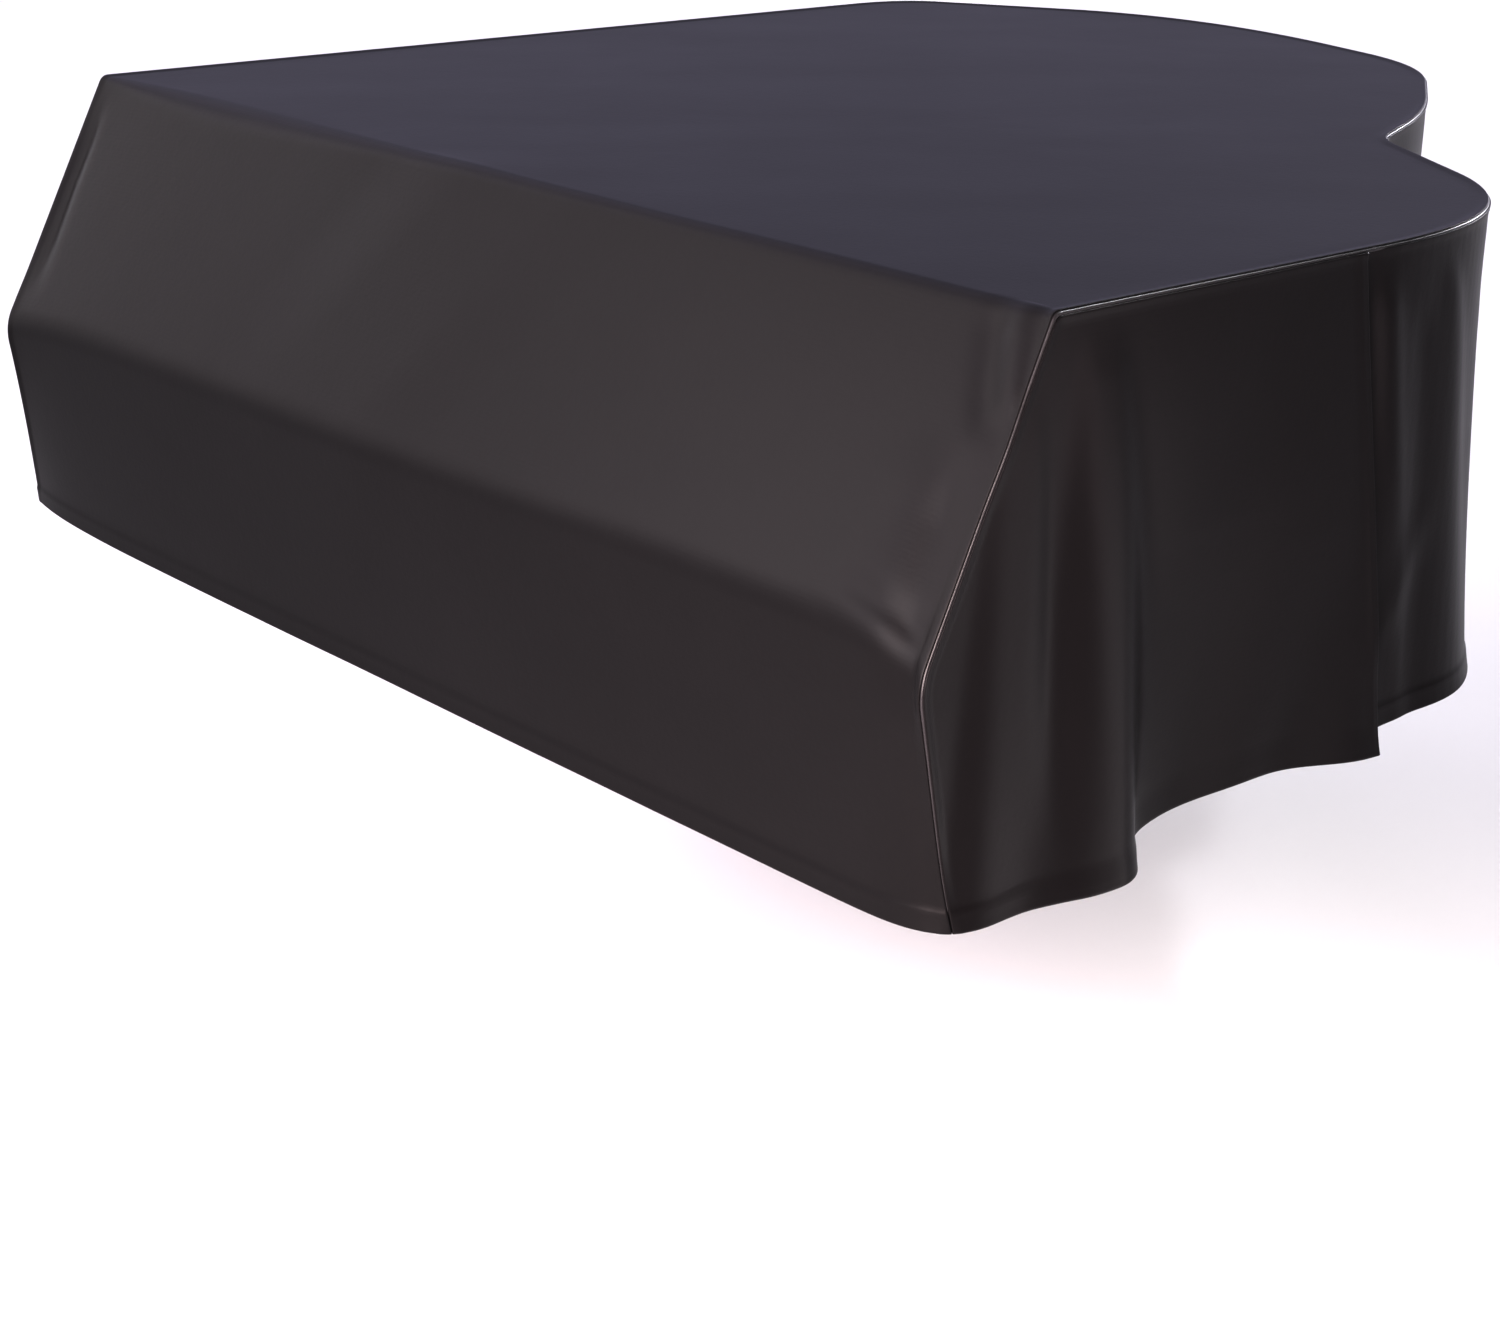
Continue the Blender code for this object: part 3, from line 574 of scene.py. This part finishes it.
def cloth_piece(name, inner, way_in, panel, material):
    """Closed piece of cloth: inner face, outer face a thickness outside it, and a rounded edge between.

    The thickness grows over the turned-up hem; the edge's middle line stands out by half of it.
    """
    in_hem = 1.0 - smooth((panel.hem_gap - HEM_DEPTH + HEM_STEP / 2.0) / HEM_STEP)
    thick = (CLOTH + HEM_EXTRA * in_hem)[..., None]
    outer = inner - way_in * thick
    index = np.arange(inner[..., 0].size).reshape(inner.shape[:2])
    loop = np.concatenate([index[0, :-1], index[:-1, -1], index[-1, :0:-1], index[:0:-1, 0]])
    inner, outer, thick = inner.reshape(-1, 3), outer.reshape(-1, 3), thick.reshape(-1, 1)
    ahead, behind = np.roll(loop, -1), np.roll(loop, 1)
    run = unit(inner[ahead] - inner[behind])
    past_edge = panel.turn * unit(np.cross(run, way_in.reshape(-1, 3)[loop]))
    middle = (inner[loop] + outer[loop]) / 2.0 + past_edge * thick[loop] / 2.0
    flat = panel.flat.reshape(-1, 2)
    points = np.concatenate([inner, outer, middle])
    ring = 2 * index.size + np.arange(len(loop))
    ring_ahead = np.roll(ring, -1)
    inner_edge = np.stack([ahead, loop, ring, ring_ahead], axis=-1)
    outer_edge = np.stack([ring_ahead, ring, loop + index.size, ahead + index.size], axis=-1)
    quads = grid_faces(index)
    faces = np.concatenate([quads, quads[:, ::-1] + index.size, inner_edge, outer_edge])
    return add_piece(name, points, faces[:, ::int(panel.turn)].tolist(), material,
                     np.concatenate([flat, flat, flat[loop]]))


PIPING_CLEAR = 0.004              # the rim's part of its line starts this far past the lid fold's rounding
PIPING_TIP = 0.002                # its ends draw in over this length
PIPING_UNEVEN = 0.05              # share of its radius by which it varies
BEAT, SLOW_BEAT = 0.037, 0.211    # wavelengths of the two sines that vary it


def piping_line():
    """The seam up one side, round the rim and down the other, with the way out of the cover."""
    treble, bass = (side_points(seam_rows(p.section), p.hand) for p in (TREBLE_SIDE, BASS_SIDE))
    marks = crowded(TREBLE.ease_top + PIPING_CLEAR, RIM_LENGTH - BASS.ease_top - PIPING_CLEAR,
                    PIPING_RINGS, [(0.82, 0.05, 2.0)])
    level = np.zeros((len(marks), 1))
    line = np.concatenate([treble, np.hstack([resampled(RIM_LINE, marks), level]), bass[::-1]])
    outward = np.concatenate([np.tile([1.0, 0.0, 0.0], (len(treble), 1)),
                              np.hstack([path_normals(RIM_LINE, marks), level]),
                              np.tile([-1.0, 0.0, 0.0], (len(bass), 1))])
    return line, outward


def piping(name, material):
    """Corded piping: a round section swept along the seam, a little uneven, drawn in at its ends.

    The radius varies with the product of a quick and a slow sine.
    """
    line, outward = piping_line()
    run = unit(np.gradient(line, axis=0))
    outward = unit(outward - run * np.sum(outward * run, axis=1, keepdims=True))
    diagonal = unit(outward + np.cross(outward, run))
    across = np.cross(run, diagonal)
    place = arc_lengths(line)
    radius = PIPING_RADIUS * (1.0 + PIPING_UNEVEN * np.sin(place * 2.0 * np.pi / BEAT)
                              * np.sin(place * 2.0 * np.pi / SLOW_BEAT))
    radius *= np.sqrt(np.clip(np.minimum(place, place[-1] - place) / PIPING_TIP, 0.02, 1.0))
    turn = (np.arange(PIPING_SIDES) * 2.0 * np.pi / PIPING_SIDES)[None, :, None]
    ring = np.cos(turn) * diagonal[:, None] + np.sin(turn) * across[:, None]
    points = (line - PIPING_SINK * diagonal)[:, None] + radius[:, None, None] * ring
    index = np.arange(points[..., 0].size).reshape(points.shape[:2])
    faces = grid_faces(np.concatenate([index, index[:, :1]], axis=1)).tolist()
    faces += [index[0, ::-1].tolist(), index[-1].tolist()]
    around = np.arange(PIPING_SIDES) / PIPING_SIDES * 2.0 * np.pi * PIPING_RADIUS
    flat = np.stack(np.broadcast_arrays(around, place[:, None]), axis=-1).reshape(-1, 2)
    return add_piece(name, points.reshape(-1, 3), faces, material, flat)


# ---------------------------------------------------------------- stitches
STITCH_PITCH, STITCH_LENGTH, THREAD_RADIUS = 0.0038, 0.0029, 0.00026
ROW_END = 0.006                   # a row's first and last stitch stand at least this far from its ends
BAR_PLACES = np.array([-1.0, -0.8, 0.0, 0.8, 1.0])     # its rings, from the middle in half lengths
BAR_SIZES = np.array([0.25, 0.9, 1.0, 0.9, 0.25])      # their radii, in thread radii
BAR_LIFT, BAR_BOW = 0.55, 0.9     # its middle's height off the cloth and its ends' drop, in thread radii
BAR_SIDES = 6


def stitches(name, rows, material):
    """Rows of short thread bars on the hems' inner face, one every pitch; rows holds (points, way_in).

    A bar is a rod of BAR_SIDES sides.  Its middle line stands off the cloth by BAR_LIFT less BAR_BOW times
    the square of the place along it, and its end rings close up.
    """
    ring_place = BAR_PLACES[None, :, None]
    ring_size = BAR_SIZES[None, :, None, None] * THREAD_RADIUS
    turn = np.arange(BAR_SIDES)[None, None, :, None] * 2.0 * np.pi / BAR_SIDES
    batches = []
    for points, way_in in rows:
        middles = np.arange(ROW_END, arc_lengths(points)[-1] - ROW_END, STITCH_PITCH)
        centre = resampled(points, middles)[:, None]
        along = unit(resampled(points, middles + 0.001) - resampled(points, middles - 0.001))[:, None]
        rise = resampled(points, middles, way_in)[:, None]
        rise = unit(rise - along * np.sum(rise * along, axis=2, keepdims=True))
        across = np.cross(along, rise)
        line = (centre + along * ring_place * STITCH_LENGTH / 2.0
                + rise * THREAD_RADIUS * (BAR_LIFT - BAR_BOW * ring_place ** 2))
        section = np.cos(turn) * rise[:, :, None] + np.sin(turn) * across[:, :, None]
        batches.append(line[:, :, None] + ring_size * section)
    bars = np.concatenate(batches)
    index = np.arange(len(BAR_PLACES) * BAR_SIDES).reshape(-1, BAR_SIDES)
    wall = grid_faces(np.concatenate([index, index[:, :1]], axis=1))
    first = index.size * np.arange(len(bars))[:, None]
    faces = (wall[None] + first[:, None]).reshape(-1, 4).tolist()
    faces += (index[0, ::-1] + first).tolist() + (index[-1] + first).tolist()
    return add_piece(name, bars.reshape(-1, 3), faces, material)


# ---------------------------------------------------------------- finishes
def node(tree, kind, **inputs):
    """New shader node with some of its inputs set."""
    made = tree.nodes.new(kind)
    for name, value in inputs.items():
        made.inputs[name.replace("_", " ")].default_value = value
    return made


RIB_RADIAN = 0.0007           # a radian of the faint ribs' wave, so they come every 4.4 mm
NODE_RADIANS = 20.0           # radians a metre of the wave texture at scale 1
CLOUD_TONES = (0.82, 1.22)    # darkest and lightest share of the colour
GLOSS_RANGE = 0.012           # how far the roughness goes either way


def satin(name, colour, roughness, specular):
    """Black satin-faced cloth: faint ribs on the map cloth_plan, slubs, faint clouds and a soft sheen."""
    material = bpy.data.materials.new(name)
    material.use_nodes = True
    tree = material.node_tree
    link = tree.links.new
    shader = tree.nodes["Principled BSDF"]
    shader.inputs["Metallic"].default_value = 0.0
    shader.inputs["Specular IOR Level"].default_value = specular

    plan = tree.nodes.new("ShaderNodeUVMap")
    plan.uv_map = "cloth_plan"
    place = tree.nodes.new("ShaderNodeTexCoord")

    cloud = node(tree, "ShaderNodeTexNoise", Scale=3.1, Detail=4.0, Roughness=0.55)
    link(place.outputs["Object"], cloud.inputs["Vector"])
    tone = tree.nodes.new("ShaderNodeMix")
    tone.data_type = "RGBA"
    for socket, share in zip("AB", CLOUD_TONES):
        tone.inputs[socket].default_value = (*[c * share for c in colour], 1.0)
    link(cloud.outputs["Fac"], tone.inputs["Factor"])
    link(tone.outputs["Result"], shader.inputs["Base Color"])

    gloss = node(tree, "ShaderNodeMapRange", From_Min=0.3, From_Max=0.7,
                 To_Min=roughness - GLOSS_RANGE, To_Max=roughness + GLOSS_RANGE)
    link(cloud.outputs["Fac"], gloss.inputs["Value"])
    link(gloss.outputs["Result"], shader.inputs["Roughness"])

    ribs = tree.nodes.new("ShaderNodeTexWave")
    ribs.bands_direction = "Y"
    ribs.inputs["Scale"].default_value = 1.0 / RIB_RADIAN / NODE_RADIANS
    ribs.inputs["Distortion"].default_value = 0.6
    ribs.inputs["Detail"].default_value = 1.0
    link(plan.outputs["UV"], ribs.inputs["Vector"])
    slub = node(tree, "ShaderNodeTexNoise", Scale=160.0, Detail=2.0)
    link(place.outputs["Object"], slub.inputs["Vector"])
    crumple = node(tree, "ShaderNodeTexNoise", Scale=14.0, Detail=3.0, Roughness=0.5)
    link(place.outputs["Object"], crumple.inputs["Vector"])

    rib_bump = node(tree, "ShaderNodeBump", Strength=0.06, Distance=0.0002)
    slub_bump = node(tree, "ShaderNodeBump", Strength=0.15, Distance=0.0006)
    crumple_bump = node(tree, "ShaderNodeBump", Strength=0.06, Distance=0.004)
    link(ribs.outputs["Fac"], rib_bump.inputs["Height"])
    link(slub.outputs["Fac"], slub_bump.inputs["Height"])
    link(crumple.outputs["Fac"], crumple_bump.inputs["Height"])
    link(crumple_bump.outputs["Normal"], slub_bump.inputs["Normal"])
    link(slub_bump.outputs["Normal"], rib_bump.inputs["Normal"])
    link(rib_bump.outputs["Normal"], shader.inputs["Normal"])
    return material


def thread():
    """Plain dark sewing thread."""
    material = bpy.data.materials.new("dark_thread")
    material.use_nodes = True
    shader = material.node_tree.nodes["Principled BSDF"]
    shader.inputs["Base Color"].default_value = (0.012, 0.011, 0.012, 1.0)
    shader.inputs["Roughness"].default_value = 0.5
    shader.inputs["Specular IOR Level"].default_value = 0.2
    return material


# ---------------------------------------------------------------- stage, light and camera
def floor():
    """Plain pale floor at the height the piano would stand on."""
    half, level = 40.0, TOP_HEIGHT - FLOOR_DROP
    mesh = bpy.data.meshes.new("floor")
    mesh.from_pydata([(-half, -half, level), (half, -half, level), (half, half, level),
                      (-half, half, level)], [], [(0, 1, 2, 3)])
    material = bpy.data.materials.new("pale_floor")
    material.use_nodes = True
    shader = material.node_tree.nodes["Principled BSDF"]
    shader.inputs["Base Color"].default_value = (0.62, 0.62, 0.62, 1.0)
    shader.inputs["Roughness"].default_value = 0.9
    shader.inputs["Specular IOR Level"].default_value = 0.1
    mesh.materials.append(material)
    made = bpy.data.objects.new("floor", mesh)
    bpy.context.scene.collection.objects.link(made)


def aimed(place, target):
    """Matrix at place whose -Z axis points at target."""
    place, target = np.array(place, float), np.array(target, float)
    back = unit(place - target)
    right = unit(np.cross([0.0, 0.0, 1.0], back))
    rotation = np.column_stack([right, np.cross(back, right), back, place])
    return Matrix(np.vstack([rotation, [0.0, 0.0, 0.0, 1.0]]).tolist())


CAMERA_PLACE = np.array([2.1879, -2.2505, 0.4988])
CAMERA_TURN = (48.17, 20.48, 1.09)       # yaw, pitch and roll, in degrees
FOCAL_LENGTH = 2762.5 / 1500.0           # in widths of the frame
SENSOR_WIDTH = 36.0                      # in millimetres


def camera():
    """Camera out from the treble front corner and above it: turned by yaw, tipped by pitch, rolled."""
    yaw, pitch, roll = np.radians(CAMERA_TURN)
    ahead = np.array([-np.sin(yaw) * np.cos(pitch), np.cos(yaw) * np.cos(pitch), -np.sin(pitch)])
    level = np.array([np.cos(yaw), np.sin(yaw), 0.0])
    upward = np.cross(level, ahead)
    right = np.cos(roll) * level + np.sin(roll) * upward
    up = np.cos(roll) * upward - np.sin(roll) * level
    data = bpy.data.cameras.new("camera")
    data.sensor_width = SENSOR_WIDTH
    data.lens = FOCAL_LENGTH * SENSOR_WIDTH
    made = bpy.data.objects.new("camera", data)
    rotation = np.column_stack([right, up, -ahead, CAMERA_PLACE])
    made.matrix_world = Matrix(np.vstack([rotation, [0.0, 0.0, 0.0, 1.0]]).tolist())
    bpy.context.scene.collection.objects.link(made)
    bpy.context.scene.camera = made


Sun = namedtuple("Sun", "name azimuth elevation spread colour")
SUNS = [    # azimuth in degrees from the treble side round to the tail; colour carries the strength
    Sun("front_left_window", -135.0, 26.0, 60.0, (3.60, 3.38, 3.46)),
    Sun("front_window", -100.0, 20.0, 60.0, (1.80, 1.60, 2.00)),
    Sun("left_window", 180.0, 48.0, 46.0, (1.30, 1.20, 1.45)),
    Sun("back_left_window", 135.0, 20.0, 60.0, (0.73, 0.70, 0.91)),
    Sun("back_right_window", 45.0, 50.0, 60.0, (1.70, 1.80, 1.75)),
    Sun("tail_window", 94.0, 12.0, 12.0, (2.10, 2.05, 2.20)),
    Sun("bass_window", 178.0, 8.0, 12.0, (0.80, 0.77, 0.82)),
]
# A glowing panel and the point it faces, in the row frame; watts are given for red, green and blue.
SoftBox = namedtuple("SoftBox", "name place target wide tall watts")
SOFT_BOXES = [
    SoftBox("right_front_box", (1.5, -1.9, -0.1), (0.3, -0.5, -0.25), 1.0, 1.0, (128.0, 107.0, 105.0)),
    SoftBox("slope_box", (-0.1, -1.55, 0.26), (0.7, -0.75, -0.15), 0.6, 0.6, (6.5, 6.0, 5.95)),
    SoftBox("front_box", (0.7, -2.7, 0.3), (0.3, -0.5, -0.25), 1.1, 1.1, (80.0, 75.5, 75.5)),
    SoftBox("high_side_box", (1.5, -0.2, -0.2), (0.76, -0.7, -0.35), 0.4, 0.4, (2.4, 2.0, 2.1)),
    SoftBox("low_side_box", (1.35, -0.1, -0.6), (0.76, -0.7, -0.35), 0.35, 0.35, (0.54, 0.51, 0.51)),
    SoftBox("tall_side_box", (1.08, -0.22, -0.5), (0.76, -0.7, -0.35), 0.1, 0.6, (0.90, 0.85, 0.87)),
    SoftBox("foot_box", (1.15, -0.38, -0.75), (0.76, -0.7, -0.35), 0.3, 0.3, (0.75, 0.70, 0.72)),
    SoftBox("corner_lamp", (1.023, 0.22, 0.78), (0.7525, -0.65, 0.0), 0.15, 0.15, (14.0, 14.0, 14.8)),
]
ROOM = (0.02, 0.02, 0.024)               # what the room throws back at the cover
WALLS = (0.80, 0.80, 0.82)               # what it looks like behind the cover
VIEW_GAMMA = 0.70


def add_light(kind, name, colour, matrix):
    """New light of one kind; its strength is its colour's brightest channel."""
    light = bpy.data.lights.new(name, kind)
    light.energy = max(colour)
    light.color = [channel / max(colour) for channel in colour]
    made = bpy.data.objects.new(name, light)
    made.matrix_world = matrix
    bpy.context.scene.collection.objects.link(made)
    return light


def light_up():
    """Soft studio: distant lights, most of them wide, soft boxes on the near corner and a dim room.

    The room's walls look pale behind the cover, but throw back little light.
    """
    world = bpy.data.worlds.new("studio")
    world.use_nodes = True
    tree = world.node_tree
    dim, path = tree.nodes["Background"], tree.nodes.new("ShaderNodeLightPath")
    pale, either = tree.nodes.new("ShaderNodeBackground"), tree.nodes.new("ShaderNodeMixShader")
    dim.inputs["Color"].default_value = (*ROOM, 1.0)
    pale.inputs["Color"].default_value = (*WALLS, 1.0)
    tree.links.new(path.outputs["Is Camera Ray"], either.inputs[0])
    tree.links.new(dim.outputs[0], either.inputs[1])
    tree.links.new(pale.outputs[0], either.inputs[2])
    tree.links.new(either.outputs[0], tree.nodes["World Output"].inputs["Surface"])
    bpy.context.scene.world = world
    for sun in SUNS:
        turn, rise = np.radians([sun.azimuth, sun.elevation])
        way = np.array([np.cos(turn) * np.cos(rise), np.sin(turn) * np.cos(rise), np.sin(rise)])
        light = add_light("SUN", sun.name, sun.colour, aimed(5.0 * way, (0.0, 0.0, 0.0)))
        light.angle = np.radians(sun.spread)
    for box in SOFT_BOXES:
        light = add_light("AREA", box.name, box.watts, aimed(box.place, box.target))
        light.shape, light.size, light.size_y = "RECTANGLE", box.wide, box.tall
        bpy.data.objects[box.name].visible_camera = False
    bpy.context.scene.view_settings.view_transform = "Standard"
    bpy.context.scene.view_settings.gamma = VIEW_GAMMA


def dress():
    """Make the pieces and hide the parts of model.glb that they take the place of."""
    top = satin("top_satin", (0.0053, 0.0048, 0.0051), 0.42, 0.10)
    side = satin("side_satin", (0.0053, 0.0046, 0.0049), 0.37, 0.10)
    cord = satin("piping_satin", (0.014, 0.013, 0.014), 0.36, 0.30)
    sewing = thread()
    sheets = [
        ("top_front_cloth", long_cloth(), top, "top_cloth", "top_front_panel", (1.58, 2.24), 2.72),
        ("treble_side_cloth", side_panel(TREBLE_SIDE), side, "side_cloth", "treble_side_panel",
         (0.66, 0.53), 0.29),
        ("bass_side_cloth", side_panel(BASS_SIDE), side, "side_cloth", "bass_side_panel",
         (0.66, 0.53), 0.29),
        ("wall_cloth", back_wall(), side, "side_cloth", "back_wall_panel", (3.17, 0.50), 1.52),
    ]
    faces = {}
    for name, panel, material, slot, cad_node, flat, area in sheets:
        inner, way_in = faces[name] = inner_face(panel)
        piece = cloth_piece(name, inner, way_in, panel, material)
        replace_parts(piece, cad_node)
    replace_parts(piping("seam_piping_cord", cord), "seam_piping")

    def row(name, where):
        """Points of one row or column of a cloth's inner face, and the way in at each."""
        inner, way_in = faces[name]
        return inner[where], way_in[where]

    hem, free_edge = STITCH_ROW, -len(FREE_MARKS)
    side_rows = []
    for place in ((hem, slice(None, free_edge)), (slice(hem, None), free_edge)):
        side_rows += [row(name, place) for name in ("treble_side_cloth", "bass_side_cloth")]
    stitches("front_hem_stitching", [row("top_front_cloth", hem)], sewing)
    stitches("side_hem_stitching", side_rows + [row("wall_cloth", -1 - hem)], sewing)


floor()
light_up()
camera()
dress()
